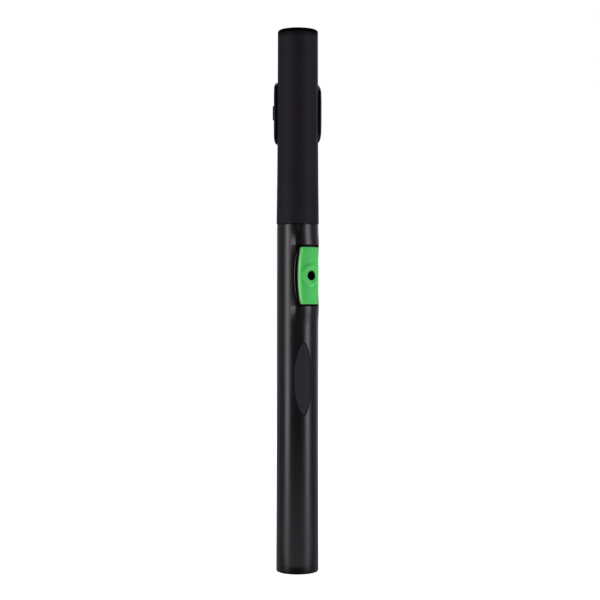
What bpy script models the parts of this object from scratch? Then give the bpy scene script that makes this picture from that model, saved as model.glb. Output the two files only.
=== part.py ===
"""Student fife in C: a two-piece moulded flute with silicone keys and a lip plate that lifts off.

The tube stands upright on its foot, +Z along it. The lip plate and the finger keys face +Y,
and the thumb side faces -Y. Everything is in metres.
"""

import math

import bmesh
import bpy
from mathutils import Matrix, Vector

MM = 0.001

# Driving dimensions
LENGTH = 330.0 * MM
JOINT_Z = 211.4 * MM
TENON_LENGTH = 26.0 * MM
BORE_R = 8.5 * MM
TENON_R = 10.6 * MM
SOCKET_R = 10.75 * MM
BODY_R = 12.6 * MM
FOOT_R = 12.95 * MM
SOCKET_RIM_R = 12.9 * MM
HEAD_R = 12.45 * MM
CROWN_R = 12.25 * MM
RIM_ROUND = 1.2 * MM
EDGE_BREAK = 0.4 * MM
TENON_CHAMFER = 0.6 * MM
BORE_CHAMFER = 0.5 * MM
FOOT_TAPER_END_Z = 119.0 * MM
SOCKET_TAPER_Z = 236.0 * MM
SOCKET_TAPER_R = 12.62 * MM
HEAD_TAPER_Z = 257.0 * MM
SEGMENTS = 32
SMALL_SEGMENTS = 20
SEAM = 0.3 * MM
SNUG = 0.06 * MM

# How far from the tube's axis the cutters start, inside the bore, and end, outside everything
CUT_FROM = 5.0 * MM
CUT_TO = 20.0 * MM

# Thumb boss: two shoulders that rise towards the ends of the thumb key's seat and step down there
THUMB_ANGLE = math.radians(41.0)
BOSS_RISE = 1.0 * MM
BOSS_NEAR_SIDE = math.radians(37.0)
BOSS_NEAR_FADE = math.radians(22.0)
BOSS_FAR_FADE = math.radians(88.0)
BOSS_RAMP = 12.0 * MM
BOSS_STEP = 0.3 * MM
BOSS_INSIDE = 0.65

# Keys
THUMB_KEY_Z = 180.3 * MM
THUMB_KEY_LENGTH = 34.8 * MM
THUMB_KEY_HALF_WIDTH = 7.65 * MM
THUMB_KEY_RISE = 0.6 * MM
FINGER_KEY_LENGTH = 15.4 * MM
FINGER_KEY_HALF_WIDTH = 7.6 * MM
FINGER_KEY_Z = [z * MM for z in (167.0, 147.0, 127.0, 104.0, 83.0, 62.0, 38.0)]
KEY_BARREL = 1.2 * MM
KEY_UNDER_R = 11.0 * MM
FLANGE_TOP_R = 11.3 * MM
FLANGE_REACH = 0.48 * MM
FRAME_UNDER_R = 11.5 * MM
FRAME_TOP_R = 12.35 * MM
FRAME_SIDE = 1.85 * MM
FRAME_END = 0.7 * MM
FRAME_BARREL = 1.7 * MM
SEAT_SIDE = 2.45 * MM
SEAT_END = 1.1 * MM
POCKET_FLOOR_R = 9.7 * MM
CAVITY_MARGIN = 0.62 * MM
KEY_RING_R = 6.3 * MM
KEY_RING_RISE = 0.5 * MM
KEY_HOLE_R = 2.95 * MM
KEY_SEAL_R = 4.6 * MM
KEY_SEAL_UNDER_R = 10.75 * MM
TONE_HOLE_R = 3.3 * MM

# Thumb rest
REST_ANGLE = math.radians(14.0)
REST_Z = 118.0 * MM
REST_HALF_LENGTH = 22.0 * MM
REST_HALF_WIDTH = 5.1 * MM
REST_DEPTH = 1.0 * MM
REST_PROUD = 0.03 * MM
REST_END = 0.5 * MM

# Head and lip plate
EMBOUCHURE_Z = 279.9 * MM
EMBOUCHURE_HALF_LENGTH = 6.0 * MM
EMBOUCHURE_HALF_WIDTH = 5.0 * MM
CHIMNEY_WALL = 1.1 * MM
CHIMNEY_Y = (8.7 * MM, 13.2 * MM)
SEAL_WALL = 0.7 * MM
SEAL_Y = (8.9 * MM, 10.0 * MM)
PLATE_HALF_LENGTH = 19.5 * MM
PLATE_EDGE = 0.5 * MM
PLATE_RISE_SIDE = 1.5 * MM
PLATE_RISE_TOP = 2.35 * MM
PLATE_CORNER_BLOW = 7.0
PLATE_CORNER_CHIN = 3.0
LUG_X = 15.4 * MM
LUG_HALF_LENGTH = 4.3 * MM
LUG_Y = (0.6 * MM, 3.2 * MM)

# Stopper and crown
STOPPER_Z = (297.0 * MM, 312.0 * MM)
STOPPER_R = 8.35 * MM
CROWN_SEAT_R = 9.8 * MM
CROWN_CHAMFER = 0.5 * MM
CROWN_SEAT_Z = 324.5 * MM
CROWN_TOP_Z = 329.5 * MM
CROWN_WALL = 1.8 * MM

# O-rings: half the thickness of each, its groove's half length, and its outer radius
RING_R = 0.7 * MM
GROOVE_HALF = 0.8 * MM
TENON_RING_OUTER_R = 10.65 * MM
STOPPER_RING_OUTER_R = BORE_R - SNUG
TENON_RING_Z = [z * MM for z in (219.0, 230.0)]
STOPPER_RING_Z = [z * MM for z in (300.5, 308.5)]

# Half the length of the thumb key's seat
SEAT_REACH = THUMB_KEY_LENGTH / 2 + SEAT_END

COLOURS = {
    "body_plastic": ((0.030, 0.028, 0.032), 0.35),
    "head_plastic": ((0.022, 0.021, 0.024), 0.60),
    "plate_plastic": ((0.008, 0.008, 0.009), 0.20),
    "green_silicone": ((0.065, 0.420, 0.100), 0.55),
    "rest_rubber": ((0.028, 0.026, 0.030), 0.80),
    "seal_rubber": ((0.015, 0.015, 0.015), 0.70),
}


def clear_scene():
    for old in list(bpy.data.objects):
        bpy.data.objects.remove(old, do_unlink=True)


def material(name):
    found = bpy.data.materials.get(name)
    if found:
        return found
    colour, roughness = COLOURS[name]
    made = bpy.data.materials.new(name)
    made.use_nodes = True
    shader = made.node_tree.nodes["Principled BSDF"]
    shader.inputs["Base Color"].default_value = (*colour, 1.0)
    shader.inputs["Roughness"].default_value = roughness
    shader.inputs["Metallic"].default_value = 0.0
    return made


def add_object(name, bm, slot, place=None):
    """Turns a bmesh into a named object; its faces are made to point outwards."""
    bmesh.ops.recalc_face_normals(bm, faces=bm.faces)
    mesh = bpy.data.meshes.new(name)
    bm.to_mesh(mesh)
    bm.free()
    made = bpy.data.objects.new(name, mesh)
    bpy.context.collection.objects.link(made)
    if place is not None:
        made.matrix_world = place
    if slot is None:
        made.hide_render = True
        made.display_type = "WIRE"
    else:
        mesh.materials.append(material(slot))
        mesh.shade_smooth()
        mesh.set_sharp_from_angle(angle=math.radians(35.0))
    return made


def boolean(target, operand, operation):
    cut = target.modifiers.new(f"{operation.lower()}_{operand.name}", "BOOLEAN")
    cut.operation = operation
    cut.object = operand
    cut.solver = "EXACT"


def turned(profile, along="Z", segments=SEGMENTS):
    """Spins a closed outline of (radius, height) points round the Z or the Y axis."""
    bm = bmesh.new()
    points = [Vector((r, 0.0, h)) for r, h in profile]
    verts = [bm.verts.new(p) for p in points]
    edges = [bm.edges.new((a, b)) for a, b in zip(verts, verts[1:] + verts[:1]) if a.co.x + b.co.x > 0]
    bmesh.ops.spin(
        bm, geom=verts + edges, cent=(0, 0, 0), axis=(0, 0, 1),
        angle=2 * math.pi, steps=segments, use_merge=True,
    )
    bmesh.ops.remove_doubles(bm, verts=bm.verts, dist=0.001 * MM)
    bmesh.ops.rotate(bm, verts=bm.verts, cent=(0, 0, 0), matrix=Matrix.Rotation(math.pi / segments, 3, "Z"))
    if along == "Y":
        bmesh.ops.rotate(bm, verts=bm.verts, cent=(0, 0, 0), matrix=Matrix.Rotation(-math.pi / 2, 3, "X"))
    return bm


def post(radius, low, high, segments=SMALL_SEGMENTS):
    """A plain round post along +Y, between two heights."""
    return turned([(0.0, low), (radius, low), (radius, high), (0.0, high)], "Y", segments)


def curved_plate(half_width, low, high, r_in, r_out, across=7, along=3):
    """A plate bent round the tube that faces +Y, whose sides are parallel to +Y.

    half_width gives half the plate's width at a place from -1 to 1 along it.
    """
    bm = bmesh.new()
    bmesh.ops.create_grid(bm, x_segments=across, y_segments=along, size=1.0)
    middle, half = (low + high) / 2, (high - low) / 2
    for v in bm.verts:
        u, t = v.co.x, v.co.y
        turn = u * math.asin(half_width(t) / r_out)
        v.co = Vector((r_out * math.sin(turn), 0.0, middle + t * half))
    inner = bmesh.ops.extrude_face_region(bm, geom=bm.faces[:])["geom"]
    inner = {g for g in inner if isinstance(g, bmesh.types.BMVert)}
    for v in bm.verts:
        radius = r_in if v in inner else r_out
        v.co.y = math.sqrt(radius ** 2 - v.co.x ** 2)
    return bm


def oval_post(half_x, half_z, low, high, segments=SMALL_SEGMENTS):
    """An oval post along +Y whose middle is at height zero."""
    bm = post(1.0, low, high, segments)
    bmesh.ops.scale(bm, verts=bm.verts, vec=(half_x, 1.0, half_z))
    return bm


def facing(angle, z):
    """Where a piece that is made facing +Y goes: turned to an angle from -Y towards +X, at a height."""
    return Matrix.Translation((0.0, 0.0, z)) @ Matrix.Rotation(math.pi + angle, 4, "Z")


def smooth(t):
    t = min(1.0, max(0.0, t))
    return t * t * (3.0 - 2.0 * t)


def boss_height(angle, z):
    """How far the thumb boss stands out of the body at an angle from -Y towards +X."""
    turn = math.remainder(angle - THUMB_ANGLE, 2 * math.pi)
    near = smooth((turn + BOSS_NEAR_SIDE + BOSS_NEAR_FADE) / BOSS_NEAR_FADE)
    far = smooth((BOSS_FAR_FADE - turn) / BOSS_FAR_FADE)
    beyond = abs(z - THUMB_KEY_Z) - SEAT_REACH
    if beyond < -BOSS_STEP / 2:
        along = BOSS_INSIDE * (1.0 + beyond / SEAT_REACH) ** 3
    else:
        along = smooth(1.0 - beyond / BOSS_RAMP)
    return BOSS_RISE * near * far * along


def rounded_rim(radius, z, up):
    """Three points of an outer rim's rounding, from the side to the flat end."""
    turns = [math.radians(a) for a in (0.0, 45.0, 90.0)]
    return [
        (radius - RIM_ROUND * (1 - math.cos(a)), z - up * RIM_ROUND * (1 - math.sin(a)))
        for a in turns
    ]


def groove(radius, ring_outer_r, z):
    """Four points of an O-ring's groove in a shaft, from the bottom up."""
    floor = ring_outer_r - 2 * RING_R - SNUG
    low, high = z - GROOVE_HALF, z + GROOVE_HALF
    return [(radius, low), (floor, low), (floor, high), (radius, high)]


def body_profile():
    reach = SEAT_REACH
    half = [0.0, reach / 2, reach - BOSS_STEP, reach]
    half += [reach + BOSS_RAMP * share for share in (0.25, 0.5, 0.75, 1.0)]
    boss = [THUMB_KEY_Z - d for d in half[:0:-1]] + [THUMB_KEY_Z + d for d in half]
    outer = rounded_rim(FOOT_R, 0.0, -1)[::-1]
    outer += [(BODY_R, z) for z in [FOOT_TAPER_END_Z] + boss]
    outer += [(BODY_R, JOINT_Z - EDGE_BREAK), (BODY_R - EDGE_BREAK, JOINT_Z)]
    tenon = [(TENON_R, JOINT_Z)]
    for z in TENON_RING_Z:
        tenon += groove(TENON_R, TENON_RING_OUTER_R, z)
    top = JOINT_Z + TENON_LENGTH
    tenon += [(TENON_R, top - TENON_CHAMFER), (TENON_R - TENON_CHAMFER, top), (BORE_R, top)]
    return outer + tenon + [(BORE_R, BORE_CHAMFER), (BORE_R + BORE_CHAMFER, 0.0)]


def barrel_outline(half_width, barrel=KEY_BARREL):
    return lambda t: half_width - barrel * t * t


def disc_outline(radius):
    """Nearly round, with a short straight edge at each end."""
    return lambda t: radius * math.sqrt(1.0 - 0.9 * t * t)


def rest_outline(margin=0.0):
    """A long oval, a little pointed at its ends."""
    return lambda t: REST_HALF_WIDTH * (1.0 - abs(t) ** 2.2) ** 0.62 + REST_END + margin


def key_sites():
    """Name ending, angle, height, length, half width and outer radius of each key."""
    thumb = (THUMB_ANGLE, THUMB_KEY_Z, THUMB_KEY_LENGTH, THUMB_KEY_HALF_WIDTH, BODY_R + THUMB_KEY_RISE)
    fingers = [(math.pi, z, FINGER_KEY_LENGTH, FINGER_KEY_HALF_WIDTH, BODY_R) for z in FINGER_KEY_Z]
    names = [f"finger_key_{number}" for number in range(1, len(fingers) + 1)]
    return [("thumb_key", *thumb)] + [(name, *finger) for name, finger in zip(names, fingers)]


def body_tube():
    bm = turned(body_profile())
    for v in bm.verts:
        radius = math.hypot(v.co.x, v.co.y)
        if radius > TENON_R + SEAM and v.co.z < JOINT_Z:
            rise = boss_height(math.atan2(v.co.x, -v.co.y), v.co.z)
            v.co.xy *= (radius + rise) / radius
    tube = add_object("body_tube", bm, "body_plastic")
    for name, angle, z, length, half_width, surface_r in key_sites():
        place = facing(angle, z)
        reach = length / 2 + SEAT_END
        seat = curved_plate(
            barrel_outline(half_width + SEAT_SIDE, FRAME_BARREL),
            -reach, reach, FRAME_UNDER_R - SEAM / 2, surface_r + RIM_ROUND,
        )
        boolean(tube, add_object(f"seat_cutter_{name}", seat, None, place), "DIFFERENCE")
        reach = length / 2 + CAVITY_MARGIN
        outline = barrel_outline(half_width + CAVITY_MARGIN)
        cavity = curved_plate(outline, -reach, reach, POCKET_FLOOR_R, BODY_R)
        boolean(tube, add_object(f"cavity_cutter_{name}", cavity, None, place), "DIFFERENCE")
        hole = post(TONE_HOLE_R, CUT_FROM, FRAME_TOP_R)
        boolean(tube, add_object(f"tone_hole_cutter_{name}", hole, None, place), "DIFFERENCE")
    reach = REST_HALF_LENGTH + SEAM
    floor = BODY_R - REST_DEPTH - SEAM
    recess = curved_plate(rest_outline(SEAM), -reach, reach, floor, BODY_R + RIM_ROUND, 3, 9)
    boolean(tube, add_object("rest_cutter", recess, None, facing(REST_ANGLE, REST_Z)), "DIFFERENCE")


def thumb_rest_pad():
    reach = REST_HALF_LENGTH
    pad = curved_plate(rest_outline(), -reach, reach, BODY_R - REST_DEPTH, BODY_R + REST_PROUD, 3, 9)
    add_object("thumb_rest_pad", pad, "rest_rubber", facing(REST_ANGLE, REST_Z))


def key(name, angle, z, length, half_width, surface_r):
    """A silicone key: a bent plate on a flange, with a raised ring and an open hole."""
    place = facing(angle, z)
    half = length / 2
    plate = curved_plate(barrel_outline(half_width), -half, half, KEY_UNDER_R + 0.1 * MM, surface_r)
    made = add_object(name, plate, "green_silicone", place)
    reach = half + FLANGE_REACH
    flange = curved_plate(barrel_outline(half_width + FLANGE_REACH), -reach, reach, KEY_UNDER_R, FLANGE_TOP_R)
    boolean(made, add_object(f"flange_{name}", flange, None, place), "UNION")
    levels = {
        "seal": (KEY_SEAL_R, KEY_SEAL_UNDER_R, FLANGE_TOP_R + 0.2 * MM),
        "ring": (KEY_RING_R, surface_r - 0.4 * MM, surface_r + KEY_RING_RISE),
    }
    for part, (radius, r_in, r_out) in levels.items():
        disc = curved_plate(disc_outline(radius), -radius, radius, r_in, r_out, 3, 5)
        boolean(made, add_object(f"{part}_{name}", disc, None, place), "UNION")
    hole = post(KEY_HOLE_R, CUT_FROM, CUT_TO)
    boolean(made, add_object(f"hole_cutter_{name}", hole, None, place), "DIFFERENCE")


def key_frame(name, angle, z, length, half_width):
    """The bezel, sunk a little in the tube, that keeps a key's flange in its pocket."""
    place = facing(angle, z)
    reach = length / 2 + FRAME_END
    outline = barrel_outline(half_width + FRAME_SIDE, FRAME_BARREL)
    bezel = curved_plate(outline, -reach, reach, FRAME_UNDER_R, FRAME_TOP_R)
    made = add_object(f"{name}_frame", bezel, "body_plastic", place)
    window = length / 2 + SEAM
    cutter = curved_plate(barrel_outline(half_width + SEAM), -window, window, KEY_UNDER_R, BODY_R + RIM_ROUND)
    boolean(made, add_object(f"window_cutter_{name}", cutter, None, place), "DIFFERENCE")


def o_ring(name, outer_r, z):
    """A rubber ring with a six-sided section, whose middle is at the given height."""
    middle = outer_r - RING_R
    turns = [math.radians(60.0 * k) for k in range(6)]
    section = [(middle + RING_R * math.cos(a), RING_R * math.sin(a)) for a in turns]
    add_object(name, turned(section), "seal_rubber", Matrix.Translation((0.0, 0.0, z)))


def head_profile():
    low = JOINT_Z + SEAM
    outer = [(SOCKET_RIM_R - SEAM, low), (SOCKET_RIM_R, low + SEAM), (SOCKET_TAPER_R, SOCKET_TAPER_Z)]
    outer += [(HEAD_R, HEAD_TAPER_Z)] + rounded_rim(CROWN_R, LENGTH, 1)
    inner = [(CROWN_SEAT_R, LENGTH), (CROWN_SEAT_R, CROWN_SEAT_Z), (BORE_R, CROWN_SEAT_Z)]
    socket_end = JOINT_Z + TENON_LENGTH + 2 * SEAM
    inner += [(BORE_R, socket_end), (SOCKET_R, socket_end)]
    return outer + inner + [(SOCKET_R, low + EDGE_BREAK), (SOCKET_R + EDGE_BREAK, low)]


def head_tube():
    tube = add_object("head_tube", turned(head_profile()), "head_plastic")
    margin = CHIMNEY_WALL + SEAL_WALL + SNUG
    cutter = oval_post(EMBOUCHURE_HALF_WIDTH + margin, EMBOUCHURE_HALF_LENGTH + margin, CUT_FROM, CUT_TO)
    place = Matrix.Translation((0.0, 0.0, EMBOUCHURE_Z))
    boolean(tube, add_object("chimney_hole_cutter", cutter, None, place), "DIFFERENCE")


def plate_surface(u, t):
    """The lip plate's outer radius, from -X (u = -1) over +Y to +X (u = 1), and along it (t)."""
    corner = PLATE_CORNER_BLOW + (PLATE_CORNER_CHIN - PLATE_CORNER_BLOW) * smooth((u + 1) / 2)
    swell = max(0.0, 1.0 - abs(t) ** corner) ** (1.0 / corner)
    rise = PLATE_RISE_SIDE + (PLATE_RISE_TOP - PLATE_RISE_SIDE) * math.cos(u * math.pi / 2) ** 2
    return HEAD_R + SEAM + PLATE_EDGE * (0.4 + 0.6 * swell) + rise * swell


def lip_plate():
    """The plate under the lower lip: a saddle with a lug on its side and a chimney under it."""
    bm = bmesh.new()
    bmesh.ops.create_grid(bm, x_segments=12, y_segments=10, size=1.0)
    inner = bmesh.ops.extrude_face_region(bm, geom=bm.faces[:])["geom"]
    inner = {g for g in inner if isinstance(g, bmesh.types.BMVert)}
    for v in bm.verts:
        u, t = v.co.x, math.sin(v.co.y * math.pi / 2)
        radius = HEAD_R + SEAM if v in inner else plate_surface(u, t)
        turn = u * math.pi / 2
        v.co = Vector((radius * math.sin(turn), radius * math.cos(turn), t * PLATE_HALF_LENGTH))
    place = Matrix.Translation((0.0, 0.0, EMBOUCHURE_Z))
    made = add_object("lip_plate", bm, "plate_plastic", place)
    lug = bmesh.new()
    bmesh.ops.create_cube(lug, size=1.0)
    depth = LUG_Y[1] - LUG_Y[0]
    bmesh.ops.scale(lug, verts=lug.verts, vec=(LUG_X - HEAD_R - 2 * SEAM, depth, 2 * LUG_HALF_LENGTH))
    middle = -(LUG_X + HEAD_R + 2 * SEAM) / 2
    bmesh.ops.translate(lug, verts=lug.verts, vec=(middle, LUG_Y[0] + depth / 2, 0.0))
    boolean(made, add_object("snap_lug", lug, None, place), "UNION")
    wide, long = EMBOUCHURE_HALF_WIDTH + CHIMNEY_WALL, EMBOUCHURE_HALF_LENGTH + CHIMNEY_WALL
    boolean(made, add_object("chimney", oval_post(wide, long, *CHIMNEY_Y), None, place), "UNION")
    hole = oval_post(EMBOUCHURE_HALF_WIDTH, EMBOUCHURE_HALF_LENGTH, CUT_FROM, CUT_TO)
    boolean(made, add_object("embouchure_cutter", hole, None, place), "DIFFERENCE")


def lip_plate_seal():
    wall = CHIMNEY_WALL + SNUG
    place = Matrix.Translation((0.0, 0.0, EMBOUCHURE_Z))
    wide = EMBOUCHURE_HALF_WIDTH + CHIMNEY_WALL + SEAL_WALL
    long = EMBOUCHURE_HALF_LENGTH + CHIMNEY_WALL + SEAL_WALL
    made = add_object("lip_plate_seal", oval_post(wide, long, *SEAL_Y), "seal_rubber", place)
    hole = oval_post(EMBOUCHURE_HALF_WIDTH + wall, EMBOUCHURE_HALF_LENGTH + wall, CUT_FROM, CUT_TO)
    boolean(made, add_object("seal_cutter", hole, None, place), "DIFFERENCE")


def stopper_plug():
    low, high = STOPPER_Z
    profile = [(0.0, low), (STOPPER_R - EDGE_BREAK, low), (STOPPER_R, low + EDGE_BREAK)]
    for z in STOPPER_RING_Z:
        profile += groove(STOPPER_R, STOPPER_RING_OUTER_R, z)
    profile += [(STOPPER_R, high), (0.0, high)]
    add_object("stopper_plug", turned(profile), "body_plastic")


def crown_cap():
    """A cap like a shallow cup, open towards the stopper."""
    disc_r = CROWN_SEAT_R - SNUG
    disc_low = CROWN_SEAT_Z + SEAM / 2
    foot = STOPPER_Z[1] + SEAM
    inner_r = STOPPER_R - CROWN_WALL
    profile = [(0.0, CROWN_TOP_Z), (0.0, disc_low), (inner_r, disc_low), (inner_r, foot), (STOPPER_R, foot)]
    profile += [(STOPPER_R, disc_low), (disc_r, disc_low)]
    profile += [(disc_r, CROWN_TOP_Z - CROWN_CHAMFER), (disc_r - CROWN_CHAMFER, CROWN_TOP_Z)]
    add_object("crown_cap", turned(profile[::-1]), "head_plastic")


def build():
    clear_scene()
    body_tube()
    thumb_rest_pad()
    for name, angle, z, length, half_width, surface_r in key_sites():
        key(name, angle, z, length, half_width, surface_r)
        key_frame(name, angle, z, length, half_width)
    for name, z in zip(("tenon_ring_lower", "tenon_ring_upper"), TENON_RING_Z):
        o_ring(name, TENON_RING_OUTER_R, z)
    head_tube()
    lip_plate()
    lip_plate_seal()
    stopper_plug()
    for name, z in zip(("stopper_ring_inner", "stopper_ring_outer"), STOPPER_RING_Z):
        o_ring(name, STOPPER_RING_OUTER_R, z)
    crown_cap()


build()
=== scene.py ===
"""Looks of the student fife: fine surfaces, materials, light and camera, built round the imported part."""

import math

import bmesh
import bpy
import numpy as np
from mathutils import Euler, Matrix, Vector


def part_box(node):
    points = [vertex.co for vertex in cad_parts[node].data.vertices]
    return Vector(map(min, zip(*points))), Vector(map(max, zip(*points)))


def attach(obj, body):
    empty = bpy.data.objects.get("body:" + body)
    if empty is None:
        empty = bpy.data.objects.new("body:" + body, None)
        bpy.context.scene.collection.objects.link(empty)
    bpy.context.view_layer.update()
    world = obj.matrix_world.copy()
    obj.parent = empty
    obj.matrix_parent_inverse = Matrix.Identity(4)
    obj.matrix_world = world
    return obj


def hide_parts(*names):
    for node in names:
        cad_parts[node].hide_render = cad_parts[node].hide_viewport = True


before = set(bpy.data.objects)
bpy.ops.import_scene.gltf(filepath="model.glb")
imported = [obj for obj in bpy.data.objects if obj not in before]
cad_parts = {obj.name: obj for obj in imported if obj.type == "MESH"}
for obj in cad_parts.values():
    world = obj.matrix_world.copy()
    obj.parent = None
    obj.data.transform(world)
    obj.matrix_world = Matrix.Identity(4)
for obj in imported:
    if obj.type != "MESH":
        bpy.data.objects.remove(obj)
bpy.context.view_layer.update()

MM = 0.001


def middle(node):
    """The height of a node's middle."""
    low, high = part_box(node)
    return (low.z + high.z) / 2


# The frame's own sizes
FOOT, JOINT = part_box("body_tube")[0].z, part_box("head_tube")[0].z - 0.3 * MM
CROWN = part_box("head_tube")[1].z
TENON_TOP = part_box("body_tube")[1].z
PLATE_LOW, PLATE_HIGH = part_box("lip_plate")[0].z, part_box("lip_plate")[1].z
EMBOUCHURE_Z = middle("lip_plate")
THUMB_Z, REST_Z = middle("thumb_key_frame"), middle("thumb_rest_pad")
TENON_RINGS = ("tenon_ring_lower", "tenon_ring_upper")
STOPPER_RINGS = ("stopper_ring_inner", "stopper_ring_outer")

# Radii along the tube
BORE_R, BODY_R, FOOT_R = 8.5 * MM, 12.6 * MM, 12.95 * MM
TENON_R, SOCKET_R, SOCKET_RIM_R = 10.6 * MM, 10.75 * MM, 12.9 * MM
HEAD_R, HEAD_TAPER_R, CROWN_R = 12.45 * MM, 12.62 * MM, 12.25 * MM
END_RIM = 1.2 * MM

# Heights at which the body's and the head's tapers change, and the floor of the crown's counterbore
BODY_TAPER_Z, HEAD_FLARE_Z, HEAD_TAPER_Z, COUNTERBORE_Z = 119 * MM, 236 * MM, 257 * MM, 324.5 * MM

# Thumb boss: shoulders that rise over a ramp towards the ends of the thumb key's seat and step down there to
# a share of their rise. Round the tube, a flat leaves it at one turn, rising a little faster than a true
# flat and no further than a limit, and the far side comes down over a fade.
THUMB_ANGLE = math.radians(41.0)
BOSS_RISE, BOSS_RAMP, BOSS_STEP, BOSS_INSIDE = 0.925 * MM, 12.0 * MM, 0.3 * MM, 0.65
BOSS_HOLLOW, BOSS_FLAT, BOSS_FLAT_LIMIT = 1.3, math.radians(-23.0), math.radians(40.0)
BOSS_FAR_FADE = math.radians(88.0)

# Keys
THUMB_KEY_RISE, THUMB_RING_OFFSET = 0.6 * MM, 0.35 * MM
THUMB_HALF_WIDTH, FINGER_HALF_WIDTH = 7.45 * MM, 7.6 * MM
KEY_BARREL, FRAME_BARREL = 1.2 * MM, 1.7 * MM
KEY_FLANGE, KEY_END_GAP = 0.45 * MM, 0.15 * MM
RING_FOOT_R, RING_SLOPE, RING_HEIGHT = 7.2 * MM, 1.3 * MM, 0.7 * MM
DISH_R, DISH_SLOPE, DISH_SHARE = 5.4 * MM, 2.3 * MM, 0.65
KEY_UNDER_R, KEY_HOLE_R, TONE_HOLE_R = 11.0 * MM, 2.95 * MM, 3.3 * MM
FRAME_UNDER_R, FRAME_TOP_R = 11.5 * MM, 12.35 * MM
FRAME_SIDE, FRAME_END = 2.05 * MM, 0.7 * MM
SEAT_SIDE, SEAT_END = 2.65 * MM, 1.1 * MM
CAVITY_MARGIN = 0.62 * MM
LEDGE_R, POCKET_FLOOR_R = 11.4 * MM, 9.7 * MM
SEAT_REACH = (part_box("thumb_key_frame")[1].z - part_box("thumb_key_frame")[0].z) / 2 - FRAME_END + SEAT_END

# How far out the cutters reach, and half the height of an O-ring's groove
OUTSIDE_R, GROOVE_HALF = 17 * MM, 0.8 * MM

# Thumb rest
REST_ANGLE, REST_LEAN = math.radians(14.7), 0.8 * MM
REST_HALF_WIDTH, REST_HALF_LENGTH = 5.1 * MM, 22.0 * MM

# Lip plate: its gap to the head, how thick its rim is, and how high it rises over that
PLATE_GAP, PLATE_RIM = 0.3 * MM, 0.45 * MM
PLATE_SIDE_RISE, PLATE_LEAN, PLATE_TOP_RISE = 1.45 * MM, 0.1 * MM, 2.3 * MM
PLATE_BLOW_CORNER, PLATE_CHIN_CORNER = 7.2, 3.9
EMBOUCHURE_ACROSS, EMBOUCHURE_ALONG = 5.0 * MM, 6.0 * MM

# Head: how strongly its plastic shines, and the heights over which painted shade darkens it towards the crown
HEAD_SHINE = 0.055
CROWN_PAINTED_SHADE = (CROWN - 5.4 * MM, CROWN - 1.3 * MM)

# Light and camera
CAMERA_DISTANCE = 855.5 * MM
CAMERA_X, CAMERA_Z = 1.46 * MM, 165.5 * MM
CAMERA_LENS = 84.0
CAMERA_ROLL = math.radians(0.065)
STRIP_TURN, STRIP_DISTANCE, STRIP_WIDTH = math.radians(58.0), 1.1, 0.42
STRIP_LOW, STRIP_HIGH = -0.108, 0.95
STRIP_POWER = (6.7, 6.6)
STRIP_COLOUR = (1.0, 0.94, 1.0)
WASH_TURN, WASH_Z, WASH_SIZE, WASH_POWER = math.radians(74.0), 0.4, (0.5, 1.0), 7.5
RIM_TURN, RIM_WIDTH, RIM_POWER = math.radians(146.0), 0.3, 0.7
OVERHEAD_PLACE, OVERHEAD_SIZE, OVERHEAD_POWER = (0, 0.25, 1.6), (1.6, 1.6), 14.0
CARD_PLACE, CARD_SIZE, CARD_POWER = (0, -0.16, 0.004), (0.6, 0.29), 0.26
FILL_COLOUR = (1.0, 0.95, 1.10, 1)
FILL_RAMP = {"From Min": -0.5, "From Max": 0.9, "To Min": 0.03, "To Max": 0.34}


# ---------------------------------------------------------------- shape tools

def smooth(t):
    """From 0 to 1 with level ends, as t goes from 0 to 1."""
    t = np.clip(t, 0.0, 1.0)
    return t * t * (3.0 - 2.0 * t)


def make_object(name, verts, faces, material, sharp=35.0):
    """A smooth-shaded mesh object, with sharp edges past that angle in degrees."""
    mesh = bpy.data.meshes.new(name)
    mesh.from_pydata([tuple(v) for v in verts], [], faces)
    mesh.validate()
    mesh.update()
    made = bpy.data.objects.new(name, mesh)
    bpy.context.collection.objects.link(made)
    if material is not None:
        mesh.materials.append(material)
    mesh.shade_smooth()
    mesh.set_sharp_from_angle(angle=math.radians(sharp))
    return made


def skin(loops, closed=True):
    """Verts and quads of loops joined one to the next. Closed joins last to first; open gets two caps."""
    count, size = len(loops), len(loops[0])
    verts = np.concatenate(loops)
    faces = []
    for i in range(count if closed else count - 1):
        a, b = i * size, (i + 1) % count * size
        for j in range(size):
            k = (j + 1) % size
            faces.append((a + j, a + k, b + k, b + j))
    if not closed:
        faces.append(tuple(range(size))[::-1])
        last = (count - 1) * size
        faces.append(tuple(range(last, last + size)))
    return verts, faces


def facing_out(made):
    """Turns a closed mesh's faces outwards."""
    bm = bmesh.new()
    bm.from_mesh(made.data)
    bmesh.ops.recalc_face_normals(bm, faces=bm.faces)
    bm.to_mesh(made.data)
    bm.free()
    return made


def arc(centre_r, centre_z, size, start, end, steps):
    """Points (radius, height) of an arc, angles in degrees."""
    turns = np.radians(np.linspace(start, end, steps))
    return [(centre_r + size * math.cos(a), centre_z + size * math.sin(a)) for a in turns]


def run(low, high, r_low, r_high, steps):
    """Points (radius, height) along a straight side."""
    return [(r_low + (r_high - r_low) * t, low + (high - low) * t) for t in np.linspace(0, 1, steps)]


def lathe(name, profile, material, segments=192, shift=None, sharp=35.0):
    """Turns a closed outline of (radius, height) round Z. shift(angle, z, r) adds to the radius."""
    turns = np.linspace(0, 2 * math.pi, segments, endpoint=False)
    loops = []
    for r, z in profile:
        radius = np.full(segments, r)
        if shift is not None:
            radius = radius + shift(turns, z, r)
        x, y = radius * np.sin(turns), -radius * np.cos(turns)
        loops.append(np.stack([x, y, np.full(segments, z)], axis=1))
    verts, faces = skin(loops)
    return facing_out(make_object(name, verts, faces, material, sharp))


ARC_STEPS, END_STEPS, SIDE_STEPS = 7, 14, 28


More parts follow.
